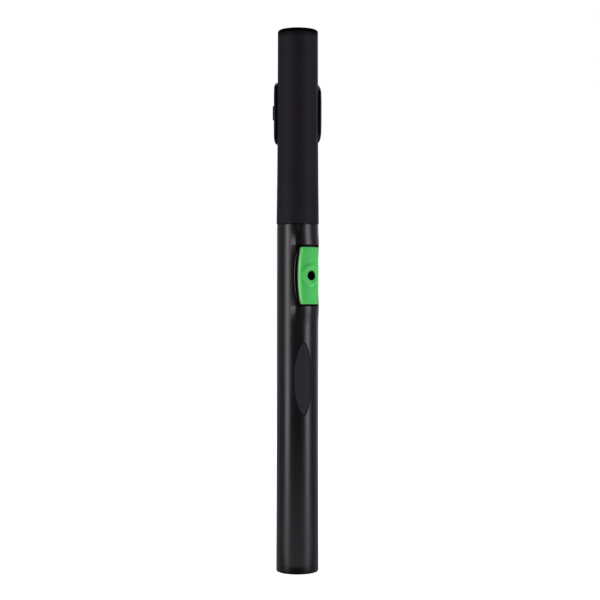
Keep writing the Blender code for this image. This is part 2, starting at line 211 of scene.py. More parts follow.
def outline(half_w, half_l, corner, barrel=0.0):
    """A rounded rectangle of (across, along) points, wider in its middle by barrel, always as many."""
    points = []
    for sx, sz, start in ((1, 1, 0), (-1, 1, 90), (-1, -1, 180), (1, -1, 270)):
        turns = np.radians(np.linspace(start, start + 90, ARC_STEPS))
        centre = (sx * (half_w - corner), sz * (half_l - corner))
        stretch = [(centre[0] + corner * math.cos(a), centre[1] + corner * math.sin(a)) for a in turns]
        points.append(stretch)
    joined = []
    for i, stretch in enumerate(points):
        following = points[(i + 1) % 4][0]
        steps = END_STEPS if i % 2 == 0 else SIDE_STEPS
        joined += stretch
        last = stretch[-1]
        for t in np.linspace(0, 1, steps, endpoint=False)[1:]:
            joined.append((last[0] + (following[0] - last[0]) * t, last[1] + (following[1] - last[1]) * t))
    flat = np.array(joined)
    flat[:, 0] *= 1 + barrel / half_w * (1 - (flat[:, 1] / half_l) ** 2)
    return flat


def ring_like(flat, radius):
    """A circle whose points lie in the same directions as an outline's."""
    turns = np.arctan2(flat[:, 1], flat[:, 0])
    return radius * np.stack([np.cos(turns), np.sin(turns)], axis=1)


def bend(flat, radius):
    """Wraps (across, along) points round the tube facing +Y, their sides parallel to +Y."""
    return np.stack([flat[:, 0], np.sqrt(np.maximum(radius ** 2 - flat[:, 0] ** 2, 0.0)), flat[:, 1]], axis=1)


def facing(angle, z):
    """Where a shape made facing +Y at height 0 goes: to this height, turned this far from -Y."""
    return Matrix.Translation((0.0, 0.0, z)) @ Matrix.Rotation(math.pi + angle, 4, "Z")


def placed(loops, place):
    """The loops moved by a 4 x 4 matrix."""
    m = np.array(place)
    return [loop @ m[:3, :3].T + m[:3, 3] for loop in loops]


def cut(target, cutter):
    """Cuts with a cutter, then removes it."""
    step = target.modifiers.new("cut", "BOOLEAN")
    step.operation = "DIFFERENCE"
    step.solver = "EXACT"
    step.object = cutter
    graph = bpy.context.evaluated_depsgraph_get()
    done = bpy.data.meshes.new_from_object(target.evaluated_get(graph), depsgraph=graph)
    target.modifiers.clear()
    old = target.data
    target.data = done
    bpy.data.meshes.remove(old)
    bpy.data.objects.remove(cutter, do_unlink=True)
    return target


def stand_for(made, body, slot, *nodes):
    """Lets a piece ride on a body in place of CAD nodes, which it hides. The slot argument is not used."""
    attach(made, body)
    if nodes:
        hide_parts(*nodes)
    return made


# ---------------------------------------------------------------- materials

def shader_material(name, colour, roughness, **sockets):
    """A new material, its node tree and its shader. Sockets are named with _ for each space."""
    made = bpy.data.materials.new(name)
    made.use_nodes = True
    shader = made.node_tree.nodes["Principled BSDF"]
    shader.inputs["Base Color"].default_value = (*colour, 1.0)
    shader.inputs["Roughness"].default_value = roughness
    for key, value in sockets.items():
        shader.inputs[key.replace("_", " ")].default_value = value
    return made, made.node_tree, shader


def noise(tree, scale, detail, stretch=(1, 1, 1), rough=0.5):
    """A noise pattern in the object's own space."""
    coords = tree.nodes.new("ShaderNodeTexCoord")
    mapping = tree.nodes.new("ShaderNodeMapping")
    mapping.inputs["Scale"].default_value = stretch
    tree.links.new(coords.outputs["Object"], mapping.inputs["Vector"])
    made = tree.nodes.new("ShaderNodeTexNoise")
    made.inputs["Scale"].default_value = scale
    made.inputs["Detail"].default_value = detail
    made.inputs["Roughness"].default_value = rough
    tree.links.new(mapping.outputs["Vector"], made.inputs["Vector"])
    return made.outputs["Fac"]


def vary(tree, source, low, high, target, near=0.3, far=0.7):
    """A number socket that goes from low to high as the pattern does."""
    ramp = tree.nodes.new("ShaderNodeMapRange")
    ramp.inputs["From Min"].default_value = near
    ramp.inputs["From Max"].default_value = far
    ramp.inputs["To Min"].default_value = low
    ramp.inputs["To Max"].default_value = high
    tree.links.new(source, ramp.inputs["Value"])
    tree.links.new(ramp.outputs["Result"], target)


def tint(tree, source, dark, light, target):
    """A colour socket that goes from one colour to another as the pattern does."""
    ramp = tree.nodes.new("ShaderNodeValToRGB")
    ramp.color_ramp.elements[0].position = 0.3
    ramp.color_ramp.elements[0].color = (*dark, 1.0)
    ramp.color_ramp.elements[1].position = 0.7
    ramp.color_ramp.elements[1].color = (*light, 1.0)
    tree.links.new(source, ramp.inputs["Fac"])
    tree.links.new(ramp.outputs["Color"], target)


def bump(tree, shader, sources):
    """Chains bumps of (pattern, depth in metres, strength) into the shader's normal."""
    last = None
    for source, depth, strength in sources:
        node = tree.nodes.new("ShaderNodeBump")
        node.inputs["Distance"].default_value = depth
        node.inputs["Strength"].default_value = strength
        tree.links.new(source, node.inputs["Height"])
        if last is not None:
            tree.links.new(last.outputs["Normal"], node.inputs["Normal"])
        last = node
    tree.links.new(last.outputs["Normal"], shader.inputs["Normal"])


def body_plastic():
    made, tree, shader = shader_material("satin_black_plastic", (0.006, 0.005, 0.006), 0.30)
    broad = noise(tree, 55, 4, (1, 1, 0.25))
    fine = noise(tree, 2600, 2)
    tint(tree, broad, (0.0026, 0.0018, 0.0026), (0.0042, 0.0030, 0.0042), shader.inputs["Base Color"])
    vary(tree, broad, 0.29, 0.35, shader.inputs["Roughness"])
    bump(tree, shader, [(fine, 0.00002, 0.10)])
    return made


def recess_shade_plastic():
    """The same black plastic, not polished, where it lies in pockets and seats, with its shine turned almost
    off as painted shade.
    """
    made, tree, shader = shader_material(
        "unpolished_painted_shade_plastic", (0.003, 0.003, 0.003), 0.6, Specular_IOR_Level=0.06
    )
    cloud = noise(tree, 400, 4)
    tint(tree, cloud, (0.002, 0.002, 0.002), (0.004, 0.004, 0.0042), shader.inputs["Base Color"])
    vary(tree, cloud, 0.5, 0.7, shader.inputs["Roughness"])
    bump(tree, shader, [(noise(tree, 2200, 2), 0.00003, 0.2)])
    return made


def head_plastic():
    """Matte plastic, with painted shade that darkens its colour and its shine over the last few millimetres
    below the crown.
    """
    made, tree, shader = shader_material("matte_black_plastic", (0.007, 0.006, 0.008), 0.55)
    grain = noise(tree, 3200, 3, rough=0.6)
    broad = noise(tree, 70, 4)
    coords = tree.nodes.new("ShaderNodeTexCoord")
    place = tree.nodes.new("ShaderNodeSeparateXYZ")
    tree.links.new(coords.outputs["Object"], place.inputs["Vector"])
    # Painted shade: the colour fades to near black, and the shine to none, towards the crown.
    blend = tree.nodes.new("ShaderNodeMix")
    blend.data_type = "RGBA"
    blend.inputs["B"].default_value = (0.0004, 0.0003, 0.0003, 1.0)
    tint(tree, broad, (0.0082, 0.0071, 0.0094), (0.0113, 0.0100, 0.0128), blend.inputs["A"])
    vary(tree, place.outputs["Z"], 0.0, 1.0, blend.inputs["Factor"], *CROWN_PAINTED_SHADE)
    tree.links.new(blend.outputs["Result"], shader.inputs["Base Color"])
    vary(tree, place.outputs["Z"], HEAD_SHINE, 0.0, shader.inputs["Specular IOR Level"], *CROWN_PAINTED_SHADE)
    vary(tree, broad, 0.48, 0.56, shader.inputs["Roughness"])
    bump(tree, shader, [(grain, 0.00006, 0.25)])
    return made


def plate_plastic():
    made, tree, shader = shader_material(
        "gloss_black_plastic", (0.002, 0.002, 0.002), 0.13, Specular_IOR_Level=0.2
    )
    smear = noise(tree, 120, 5, (1, 1, 0.5))
    tint(tree, smear, (0.0012, 0.0012, 0.0014), (0.0025, 0.0025, 0.0028), shader.inputs["Base Color"])
    vary(tree, smear, 0.09, 0.18, shader.inputs["Roughness"])
    bump(tree, shader, [(noise(tree, 900, 2), 0.00001, 0.08)])
    return made


def green_silicone():
    """Green rubber, with painted highlights where the mesh's own "pale" values say: at its edges and round
    the ring, and painted shade where they drop below zero.
    """
    made, tree, shader = shader_material(
        "green_silicone", (0.055, 0.40, 0.085), 0.7, Subsurface_Weight=0.6, Specular_IOR_Level=0.25
    )
    shader.inputs["Subsurface Radius"].default_value = (0.6, 1.0, 0.6)
    shader.inputs["Subsurface Scale"].default_value = 0.0024
    cloud = noise(tree, 160, 4)
    pale = tree.nodes.new("ShaderNodeAttribute")
    pale.attribute_name = "pale"
    blend = tree.nodes.new("ShaderNodeMix")
    blend.data_type = "RGBA"
    blend.clamp_factor = False
    # The paler green is a painted highlight; "pale" values below zero give painted shade.
    blend.inputs["B"].default_value = (0.175, 0.58, 0.168, 1.0)
    tint(tree, cloud, (0.046, 0.372, 0.074), (0.058, 0.425, 0.090), blend.inputs["A"])
    tree.links.new(pale.outputs["Fac"], blend.inputs["Factor"])
    tree.links.new(blend.outputs["Result"], shader.inputs["Base Color"])
    vary(tree, cloud, 0.62, 0.76, shader.inputs["Roughness"])
    bump(tree, shader, [(noise(tree, 1800, 3), 0.00003, 0.18)])
    return made


def rest_rubber():
    made, tree, shader = shader_material(
        "grained_rubber", (0.012, 0.011, 0.013), 0.85, Specular_IOR_Level=0.25
    )
    grain = noise(tree, 2200, 3, rough=0.7)
    tint(tree, grain, (0.0085, 0.0078, 0.0105), (0.0155, 0.0142, 0.0185), shader.inputs["Base Color"])
    vary(tree, grain, 0.78, 0.92, shader.inputs["Roughness"])
    bump(tree, shader, [(grain, 0.00012, 0.6)])
    return made


def seal_rubber():
    made, tree, shader = shader_material("seal_rubber", (0.012, 0.012, 0.012), 0.55)
    cloud = noise(tree, 300, 4)
    tint(tree, cloud, (0.010, 0.010, 0.010), (0.015, 0.015, 0.016), shader.inputs["Base Color"])
    vary(tree, cloud, 0.48, 0.62, shader.inputs["Roughness"])
    bump(tree, shader, [(noise(tree, 2500, 2), 0.00003, 0.2)])
    return made


MATERIALS = {
    "body_plastic": body_plastic(), "head_plastic": head_plastic(), "plate_plastic": plate_plastic(),
    "green_silicone": green_silicone(), "rest_rubber": rest_rubber(), "seal_rubber": seal_rubber(),
    "recess_shade_plastic": recess_shade_plastic(),
}


# ---------------------------------------------------------------- the keys' places

def key_sites():
    """Node, angle, height, half length, half width at the ends and outer radius of each key."""
    sites = []
    for node in sorted(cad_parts):
        if not node.endswith("_frame"):
            continue
        key = node[:-len("_frame")]
        low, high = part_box(node)
        half = (high.z - low.z) / 2 - FRAME_END
        thumb = key == "thumb_key"
        angle = THUMB_ANGLE if thumb else math.pi
        width = (THUMB_HALF_WIDTH if thumb else FINGER_HALF_WIDTH) - KEY_BARREL
        surface = BODY_R + (THUMB_KEY_RISE if thumb else 0.0)
        sites.append((key, angle, middle(node), half, width, surface))
    return sites


SITES = key_sites()


# ---------------------------------------------------------------- pieces

def boss(turns, z, r):
    """The thumb boss's rise over the body: a flat on its near side, then a round back."""
    if r < TENON_R + 0.5 * MM:
        return np.zeros_like(turns)
    turn = (turns - THUMB_ANGLE + math.pi) % (2 * math.pi) - math.pi
    flat = np.clip(turn + THUMB_ANGLE - BOSS_FLAT, 0.0, BOSS_FLAT_LIMIT)
    near = BOSS_HOLLOW * BODY_R * (1.0 / np.cos(flat) - 1.0) / BOSS_RISE
    near = near / (1.0 + near ** 10) ** (1.0 / 10.0)
    far = smooth((BOSS_FAR_FADE - turn) / BOSS_FAR_FADE)
    beyond = abs(z - THUMB_Z) - SEAT_REACH
    if beyond < -BOSS_STEP / 2:
        along = BOSS_INSIDE * (1.0 + beyond / SEAT_REACH) ** 3
    else:
        along = float(smooth(1.0 - beyond / BOSS_RAMP))
    return BOSS_RISE * near * far * along


def site_cutter(site):
    """One closed shape that cuts a key's seat, the pocket under it and its tone hole."""
    key, angle, z, half, width, _ = site
    cavity = outline(width + CAVITY_MARGIN, half + CAVITY_MARGIN, 1.4 * MM, KEY_BARREL)
    bore = ring_like(cavity, TONE_HOLE_R)
    rim = ring_like(cavity, TONE_HOLE_R + 0.25 * MM)
    loops = [np.insert(bore, 1, 5.5 * MM, axis=1)]
    loops += [bend(bore, POCKET_FLOOR_R - 0.25 * MM), bend(rim, POCKET_FLOOR_R)]
    for t in np.linspace(0, 1, 9)[1:]:
        loops.append(bend(rim * (1 - t) + cavity * t, POCKET_FLOOR_R))
    wide, long = width + KEY_BARREL + SEAT_SIDE - FRAME_BARREL, half + SEAT_END
    seat = outline(wide, long, 0.5 * MM, FRAME_BARREL)
    for t in (0.0, 0.5, 1.0):
        loops.append(bend(cavity * (1 - t) + seat * t, LEDGE_R))
    loops.append(bend(seat, BODY_R - 0.12 * MM))
    loops.append(bend(outline(wide + 0.05 * MM, long + 0.05 * MM, 0.55 * MM, FRAME_BARREL), BODY_R))
    top = outline(wide + 0.3 * MM, long + 0.12 * MM, 0.6 * MM, FRAME_BARREL)
    loops += [bend(top, BODY_R + 0.7 * MM), np.insert(top, 1, OUTSIDE_R, axis=1)]
    verts, faces = skin(placed(loops, facing(angle, z)), closed=False)
    return facing_out(make_object("cutter_" + key, verts, faces, None))


def rest_outline(margin):
    """The thumb rest's long oval, a little pointed at its ends, which lean to one side."""
    turns = np.linspace(0, 2 * math.pi, 160, endpoint=False)
    t = np.clip(np.sin(turns), -1, 1)
    across = REST_HALF_WIDTH * (1.0 - np.abs(t) ** 2.2) ** 0.62 * np.sign(np.cos(turns))
    flat = np.stack([across - REST_LEAN * t ** 2, REST_HALF_LENGTH * t], axis=1)
    normal = np.stack([np.cos(turns) / REST_HALF_WIDTH, np.sin(turns) / REST_HALF_LENGTH], axis=1)
    return flat + normal / np.hypot(normal[:, 0], normal[:, 1])[:, None] * margin


def shrunk(flat, share):
    """A long outline drawn in towards its middle line, which keeps some of its length."""
    return flat * np.array([share, 0.25 + 0.75 * share])


def rest_cutter():
    """The shape of the thumb rest's recess, with a rounded brim."""
    oval, depth = rest_outline(0.25 * MM), 1.2 * MM
    loops = [bend(shrunk(oval, t), BODY_R - depth) for t in np.linspace(0.02, 1, 12)]
    levels = [(0.25, -0.15), (0.35, -0.02), (0.75, 0.3)]
    loops += [bend(rest_outline(m * MM), BODY_R + r * MM) for m, r in levels]
    loops.append(np.insert(rest_outline(0.9 * MM), 1, OUTSIDE_R, axis=1))
    verts, faces = skin(placed(loops, facing(REST_ANGLE, REST_Z)), closed=False)
    return facing_out(make_object("cutter_rest", verts, faces, None))


def joined(objects):
    """One mesh of several cutters that don't touch."""
    verts, faces = [], []
    for o in objects:
        start = len(verts)
        verts += [tuple(v.co) for v in o.data.vertices]
        faces += [tuple(start + i for i in p.vertices) for p in o.data.polygons]
        bpy.data.objects.remove(o, do_unlink=True)
    return make_object("cutters", verts, faces, None)


def body_shell():
    """The lower tube with its tenon, its bore and all the seats cut into it."""
    ends = [SEAT_REACH + BOSS_RAMP, SEAT_REACH, SEAT_REACH - BOSS_STEP]
    heights = [FOOT + END_RIM, BODY_TAPER_Z] + [THUMB_Z - d for d in ends] + [THUMB_Z + d for d in ends[::-1]]
    steps = (40, 10, 24, 4, 28, 4, 24)
    radii = [FOOT_R] + [BODY_R] * 7
    side = arc(FOOT_R - END_RIM, FOOT + END_RIM, END_RIM, -90, 0, 9)
    for i, count in enumerate(steps):
        side += run(heights[i], heights[i + 1], radii[i], radii[i + 1], count)[1:]
    side += run(heights[-1], JOINT - 0.3 * MM, BODY_R, BODY_R, 5)[1:]
    shoulder = arc(BODY_R - 0.3 * MM, JOINT - 0.3 * MM, 0.3 * MM, 0, 90, 5)[1:]
    tenon = [(TENON_R + 0.15 * MM, JOINT), (TENON_R, JOINT + 0.15 * MM)]
    groove_r = 9.19 * MM
    for node in TENON_RINGS:
        low, high = middle(node) - GROOVE_HALF, middle(node) + GROOVE_HALF
        tenon += [(TENON_R, low), (groove_r, low), (groove_r, high), (TENON_R, high)]
    top = arc(TENON_R - 0.6 * MM, TENON_TOP - 0.6 * MM, 0.6 * MM, 0, 90, 6)
    inner = arc(BORE_R + 0.3 * MM, TENON_TOP - 0.3 * MM, 0.3 * MM, 90, 180, 4)
    inner += run(TENON_TOP - 0.3 * MM, FOOT + 0.5 * MM, BORE_R, BORE_R, 90)[1:]
    inner += arc(BORE_R + 0.5 * MM, FOOT + 0.5 * MM, 0.5 * MM, 180, 270, 5)[1:]
    profile = side + shoulder + tenon + top + inner
    made = lathe("body_shell", profile, MATERIALS["body_plastic"], shift=boss)
    cut(made, joined([site_cutter(s) for s in SITES] + [rest_cutter()]))
    made.data.set_sharp_from_angle(angle=math.radians(32))
    # Faces inside the outer surface below the joint take the dull plastic: painted shade in the recesses and
    # the bore.
    made.data.materials.append(MATERIALS["recess_shade_plastic"])
    for face in made.data.polygons:
        reach = math.hypot(face.center.x, face.center.y)
        if reach < BODY_R - 0.25 * MM and face.center.z < JOINT - 1 * MM:
            face.material_index = 1
    return stand_for(made, "body", "body_plastic", "body_tube")


def alignment_ribs():
    """Three plain moulded ribs under the joint, which show how to line up the head."""
    for number, (angle, length) in enumerate(((2.0, 4.6), (-17.5, 2.0), (-21.0, 2.0)), start=1):
        loops = []
        half_w, half_l = 0.28 * MM, length * MM / 2
        for margin, lift in ((0.0, -0.2), (0.0, 0.06), (-0.06, 0.15), (-0.16, 0.2)):
            flat = outline(half_w + margin * MM, half_l + margin * MM, 0.11 * MM)
            loops.append(bend(flat, BODY_R + lift * MM))
        z = JOINT - 0.5 * MM - half_l
        verts, faces = skin(placed(loops, facing(math.radians(angle), z)), closed=False)
        made = facing_out(make_object(f"alignment_rib_{number}", verts, faces, MATERIALS["body_plastic"]))
        stand_for(made, "body", "body_plastic")


def painted_key_light(flat, offset, half, width):
    """Painted light on a key: painted highlights at its sides, its ends and its ring, painted shade at the
    ring's foot.
    """
    side_gap = width + KEY_BARREL * (1 - (flat[:, 1] / half) ** 2) - np.abs(flat[:, 0])
    end_gap = half - np.abs(flat[:, 1])
    rho = np.hypot(flat[:, 0] - offset[0], flat[:, 1])
    pale = 0.95 * np.exp(-np.maximum(side_gap, 0.0) / (0.3 * MM))
    pale += 0.25 * np.exp(-np.maximum(end_gap, 0.0) / (0.4 * MM))
    pale += 0.20 * np.exp(-((rho - 5.6 * MM) / (0.8 * MM)) ** 2)
    pale -= 0.13 * np.exp(-((rho - 7.1 * MM) / (0.7 * MM)) ** 2)
    return pale.astype(np.float32)


def key_skin(site):
    """A silicone key: crowned plate, rounded rim, dished ring round the hole, flange and seal under it."""
    key, angle, z, half, width, surface = site
    edge, corner = 0.4 * MM, 0.55 * MM
    neck_r, flange_r, seal_r = 11.35 * MM, 11.28 * MM, 10.77 * MM
    half -= KEY_END_GAP
    base = outline(width, half, corner, KEY_BARREL)
    offset = np.array([THUMB_RING_OFFSET if key == "thumb_key" else 0.0, 0.0])
    loops = []

    def ring(radius):
        return ring_like(base, radius) + offset

    def top(flat):
        """The key's outer surface, with its ring's crest, dished towards the hole."""
        round_way = surface * np.arcsin(np.clip((flat[:, 0] - offset[0]) / surface, -1, 1))
        rho = np.hypot(round_way, flat[:, 1])
        crest = smooth((RING_FOOT_R - rho) / RING_SLOPE)
        crest *= 1 - DISH_SHARE * smooth((DISH_R - rho) / DISH_SLOPE)
        bent = bend(flat, surface)
        bent[:, 1] += RING_HEIGHT * crest
        return bent

    for turn in np.linspace(math.pi, math.pi / 2, 5):
        loop = top(ring(KEY_HOLE_R + 0.25 * MM * (1 + math.cos(turn))))
        loop[:, 1] -= 0.25 * MM * (1 - math.sin(turn))
        loops.append(loop)
    blend_r = min(half - 1.0 * MM, width + KEY_BARREL - 0.9 * MM - offset[0])
    for r in np.linspace(KEY_HOLE_R + 0.25 * MM, blend_r, 16)[1:]:
        loops.append(top(ring(r)))
    rim = outline(width - edge, half - edge, 0.4 * MM, KEY_BARREL)
    for t in np.linspace(0, 1, 11)[1:]:
        loops.append(top(ring(blend_r) * (1 - t) + rim * t))
    for turn in np.linspace(0, math.pi / 2, 7)[1:]:
        margin = -edge * (1 - math.sin(turn))
        flat = outline(width + margin, half + margin, corner + margin * 0.375, KEY_BARREL)
        loops.append(bend(flat, surface - edge * (1 - math.cos(turn))))
    wide = outline(width + KEY_FLANGE, half + KEY_FLANGE, 1.3 * MM, KEY_BARREL)
    loops += [bend(base, neck_r), bend(wide, flange_r), bend(wide, KEY_UNDER_R + 0.02 * MM)]
    loops += [bend(ring(5.0 * MM), KEY_UNDER_R + 0.02 * MM), bend(ring(4.5 * MM), seal_r)]
    loops += [bend(ring(KEY_HOLE_R + 0.2 * MM), seal_r), bend(ring(KEY_HOLE_R), 10.95 * MM)]
    # Painted highlights and shade on the key, kept as its "pale" values.
    pale = painted_key_light(np.concatenate(loops)[:, (0, 2)], offset, half, width)
    verts, faces = skin(placed(loops, facing(angle, z)))
    made = facing_out(make_object(key + "_skin", verts, faces, MATERIALS["green_silicone"], 50.0))
    made.data.attributes.new("pale", "FLOAT", "POINT").data.foreach_set("value", pale)
    made.data.materials.append(MATERIALS["seal_rubber"])
    hole = Vector((-math.cos(angle), -math.sin(angle), 0.0)) * offset[0] + Vector((0.0, 0.0, z))
    axis = Vector((math.sin(angle), -math.cos(angle), 0.0))
    # The flange's top and sides take the near-black seal rubber as painted shade in the gap round the key;
    # the hole's wall takes it too.
    for face in made.data.polygons:
        off = face.center - hole
        in_hole = (off - axis * off.dot(axis)).length < KEY_HOLE_R + 0.05 * MM
        reach = math.hypot(face.center.x, face.center.y)
        if in_hole or KEY_UNDER_R + 0.05 * MM < reach < neck_r + 0.01 * MM:
            face.material_index = 1
    return stand_for(made, key, "green_silicone", key)


def frame_skin(site):
    """The bezel that keeps a key's flange in: a shelf round the key with a thin raised lip outside it."""
    key, angle, z, half, width, _ = site
    shelf = 0.65
    inner = 0.06
    # (share of the width from the key outwards, depth under the frame's top in mm)
    section = [(1.0, 0.2), (0.985, 0.13), (0.96, 0.07), (0.92, 0.025), (0.88, 0.003), (0.85, 0.0)]
    section += [(0.835, 0.04), (0.825, shelf), (0.2, shelf), (0.1, shelf + 0.03), (inner, shelf + 0.1)]
    section = [(share, FRAME_TOP_R - depth * MM) for share, depth in section]
    loops = []
    for share, radius in [(1.0, FRAME_UNDER_R)] + section + [(inner, FRAME_UNDER_R)]:
        outwards = (share - inner) / (1.0 - inner)
        barrel = KEY_BARREL + (FRAME_BARREL - KEY_BARREL) * outwards
        wide = width + KEY_BARREL - barrel + FRAME_SIDE * share
        long = half + KEY_END_GAP + (FRAME_END - KEY_END_GAP) * outwards
        flat = outline(wide, long, (0.5 + 0.3 * share) * MM, barrel)
        loops.append(bend(flat, radius))
    verts, faces = skin(placed(loops, facing(angle, z)))
    made = facing_out(make_object(key + "_bezel", verts, faces, MATERIALS["recess_shade_plastic"]))
    made.data.materials.append(MATERIALS["body_plastic"])
    # The shelf keeps the dull plastic as painted shade in the moat round the key; only the lip's top takes
    # the satin plastic.
    for face in made.data.polygons:
        if math.hypot(face.center.x, face.center.y) > FRAME_TOP_R - 0.22 * MM:
            face.material_index = 1
    return stand_for(made, "body", "body_plastic", key + "_frame")


def thumb_rest():
    """The oval rubber pad, flush with the tube, its rim rounded."""
    loops = []
    for margin, lift in ((-0.05, -1.0), (-0.05, -0.12), (-0.12, -0.02), (-0.25, 0.03), (-0.5, 0.05)):
        loops.append(bend(rest_outline(margin * MM), BODY_R + lift * MM))
    edge = rest_outline(-0.5 * MM)
    for t in np.linspace(1, 0.02, 16)[1:]:
        loops.append(bend(shrunk(edge, t), BODY_R + 0.05 * MM))
    verts, faces = skin(placed(loops, facing(REST_ANGLE, REST_Z)), closed=False)
    made = facing_out(make_object("thumb_rest_skin", verts, faces, MATERIALS["rest_rubber"]))
    return stand_for(made, "body", "rest_rubber", "thumb_rest_pad")


def embouchure(turns, grow):
    """(across, along) points of the embouchure's oval, grown all round."""
    return (EMBOUCHURE_ACROSS + grow) * np.cos(turns), (EMBOUCHURE_ALONG + grow) * np.sin(turns)


def level(x, y, z):
    """A loop at one depth y, at the embouchure's height."""
    return np.stack([x, np.full(len(x), y), z + EMBOUCHURE_Z], axis=1)


def head_shell():
    """The upper tube with its socket, its bore, the crown's counterbore and the chimney's opening."""
    low, lip = JOINT + 0.3 * MM, 0.35 * MM
    side = arc(SOCKET_RIM_R - lip, low + lip, lip, -90, 0, 6)
    side += run(low + lip, HEAD_FLARE_Z, SOCKET_RIM_R, HEAD_TAPER_R, 14)[1:]
    side += run(HEAD_FLARE_Z, HEAD_TAPER_Z, HEAD_TAPER_R, HEAD_R, 12)[1:]
    side += run(HEAD_TAPER_Z, CROWN - END_RIM, HEAD_R, CROWN_R, 40)[1:]
    side += arc(CROWN_R - END_RIM, CROWN - END_RIM, END_RIM, 0, 90, 9)[1:]
    inner = [(9.95 * MM, CROWN), (9.8 * MM, CROWN - 0.15 * MM)]
    inner += [(9.8 * MM, COUNTERBORE_Z), (BORE_R, COUNTERBORE_Z)]
    inner += run(COUNTERBORE_Z - 0.5 * MM, TENON_TOP + 0.6 * MM, BORE_R, BORE_R, 40)
    inner += run(TENON_TOP + 0.6 * MM, low + 0.4 * MM, SOCKET_R, SOCKET_R, 14)
    inner += [(SOCKET_R + 0.4 * MM, low)]
    made = lathe("head_shell", side + inner, MATERIALS["head_plastic"])
    size = np.array([EMBOUCHURE_ACROSS, EMBOUCHURE_ALONG])
    oval = outline(*size, 4.0 * MM) / size
    opening = oval / np.linalg.norm(oval, axis=1)[:, None] * (size + 1.86 * MM) + (0.0, EMBOUCHURE_Z)
    verts, faces = skin([np.insert(opening, 1, y * MM, axis=1) for y in (5, 14)], closed=False)
    cut(made, facing_out(make_object("chimney_cutter", verts, faces, None)))
    made.data.set_sharp_from_angle(angle=math.radians(32))
    return stand_for(made, "head", "head_plastic", "head_tube")


def lip_plate_skin():
    """The saddle: a gloss plate whose blowing side is squared off and whose chin side is an oval."""
    half = (PLATE_HIGH - PLATE_LOW) / 2
    turns = np.linspace(0, 2 * math.pi, 192, endpoint=False)
    cos, sin = np.cos(turns), np.sin(turns)

    def edge(shrink):
        """The outline as (share of a quarter turn, share of the half length)."""
        power = PLATE_CHIN_CORNER + (PLATE_BLOW_CORNER - PLATE_CHIN_CORNER) * smooth((0.3 - cos) / 0.6)
        scale = (np.abs(cos) ** power + np.abs(sin) ** power) ** (-1.0 / power)
        return np.stack([cos * scale, sin * scale], axis=1) * (1 - shrink)

    def wrap(flat, radius):
        """Lays those shares round the tube."""
        turn = flat[:, 0] * math.pi / 2
        z = flat[:, 1] * half + EMBOUCHURE_Z
        return np.stack([radius * np.sin(turn), radius * np.cos(turn), z], axis=1)

    def rise(flat):
        """Height of the outer surface over the tube: tallest over the hole, sloping to the ends."""
        over_top = np.cos(flat[:, 0] * math.pi / 2) ** 2
        corner = PLATE_BLOW_CORNER + (PLATE_CHIN_CORNER - PLATE_BLOW_CORNER) * smooth((flat[:, 0] + 1) / 2)
        end = np.maximum(0.0, 1 - np.abs(flat[:, 1]) ** corner) ** (1 / corner)
        side = PLATE_SIDE_RISE - PLATE_LEAN * flat[:, 0]
        return PLATE_GAP + PLATE_RIM + (side + (PLATE_TOP_RISE - side) * over_top) * end

    def hole(grow):
        """The embouchure's oval in the same shares."""
        x, z = embouchure(turns, grow)
        return np.stack([np.arcsin(x / (HEAD_R + 2.5 * MM)) * 2 / math.pi, z / half], axis=1)

    loops = []
    for grow, drop in ((0.0, 0.35), (0.06, 0.12), (0.2, 0.0)):
        flat = hole(grow * MM)
        loops.append(wrap(flat, HEAD_R + rise(flat) - drop * MM))
    outer = edge(0.045)
    start = hole(0.2 * MM)
    for t in np.linspace(0, 1, 22)[1:]:
        flat = start * (1 - t) + outer * t
        loops.append(wrap(flat, HEAD_R + rise(flat)))
    for turn in np.linspace(0, math.pi / 2, 7)[1:]:
        shrink = 0.045 * (1 - math.sin(turn))
        flat = edge(shrink)
        inner = PLATE_GAP + 0.1 * MM
        full = rise(flat)
        loops.append(wrap(flat, HEAD_R + inner + (full - inner) * (0.35 + 0.65 * math.cos(turn))))
    loops.append(wrap(edge(0.0), HEAD_R + PLATE_GAP))
    chimney = hole(1.1 * MM)
    for t in np.linspace(0, 1, 8)[1:]:
        loops.append(wrap(edge(0.0) * (1 - t) + chimney * t, HEAD_R + PLATE_GAP))
    for grow, y in ((1.1, 8.85), (0.95, 8.7), (0.15, 8.7), (0.0, 8.85)):
        x, z = embouchure(turns, grow * MM)
        loops.append(level(x, y * MM, z))
    verts, faces = skin(loops)
    made = facing_out(make_object("lip_plate_skin", verts, faces, MATERIALS["plate_plastic"], 40.0))
    return stand_for(made, "lip_plate", "plate_plastic", "lip_plate")


def snap_lug():
    """The lug on the plate's blowing side that a fingernail lifts."""
    loops = []
    for margin, x in ((0.0, 13.1), (0.0, 14.95), (-0.1, 15.2), (-0.3, 15.35), (-0.7, 15.38)):
        flat = outline((1.3 + margin) * MM, (4.3 + margin) * MM, 0.5 * MM + 0.3 * margin * MM)
        loops.append(np.insert(flat + (1.9 * MM, EMBOUCHURE_Z), 0, -x * MM, axis=1))
    verts, faces = skin(loops, closed=False)
    made = facing_out(make_object("snap_lug", verts, faces, MATERIALS["plate_plastic"]))
    return stand_for(made, "lip_plate", "plate_plastic")


def plate_seal():
    """The oval gasket between the plate's chimney and the head."""
    turns = np.linspace(0, 2 * math.pi, 96, endpoint=False)
    outside = ((1.75, 9.0), (1.8, 9.15), (1.8, 9.75), (1.7, 9.95))
    inside = ((1.3, 9.98), (1.18, 9.9), (1.16, 9.0), (1.25, 8.92))
    loops = []
    for grow, y in outside + inside:
        x, z = embouchure(turns, grow * MM)
        loops.append(level(x, y * MM, z))
    verts, faces = skin(loops)
    made = facing_out(make_object("lip_plate_gasket", verts, faces, MATERIALS["seal_rubber"]))
    return stand_for(made, "lip_plate", "seal_rubber", "lip_plate_seal")


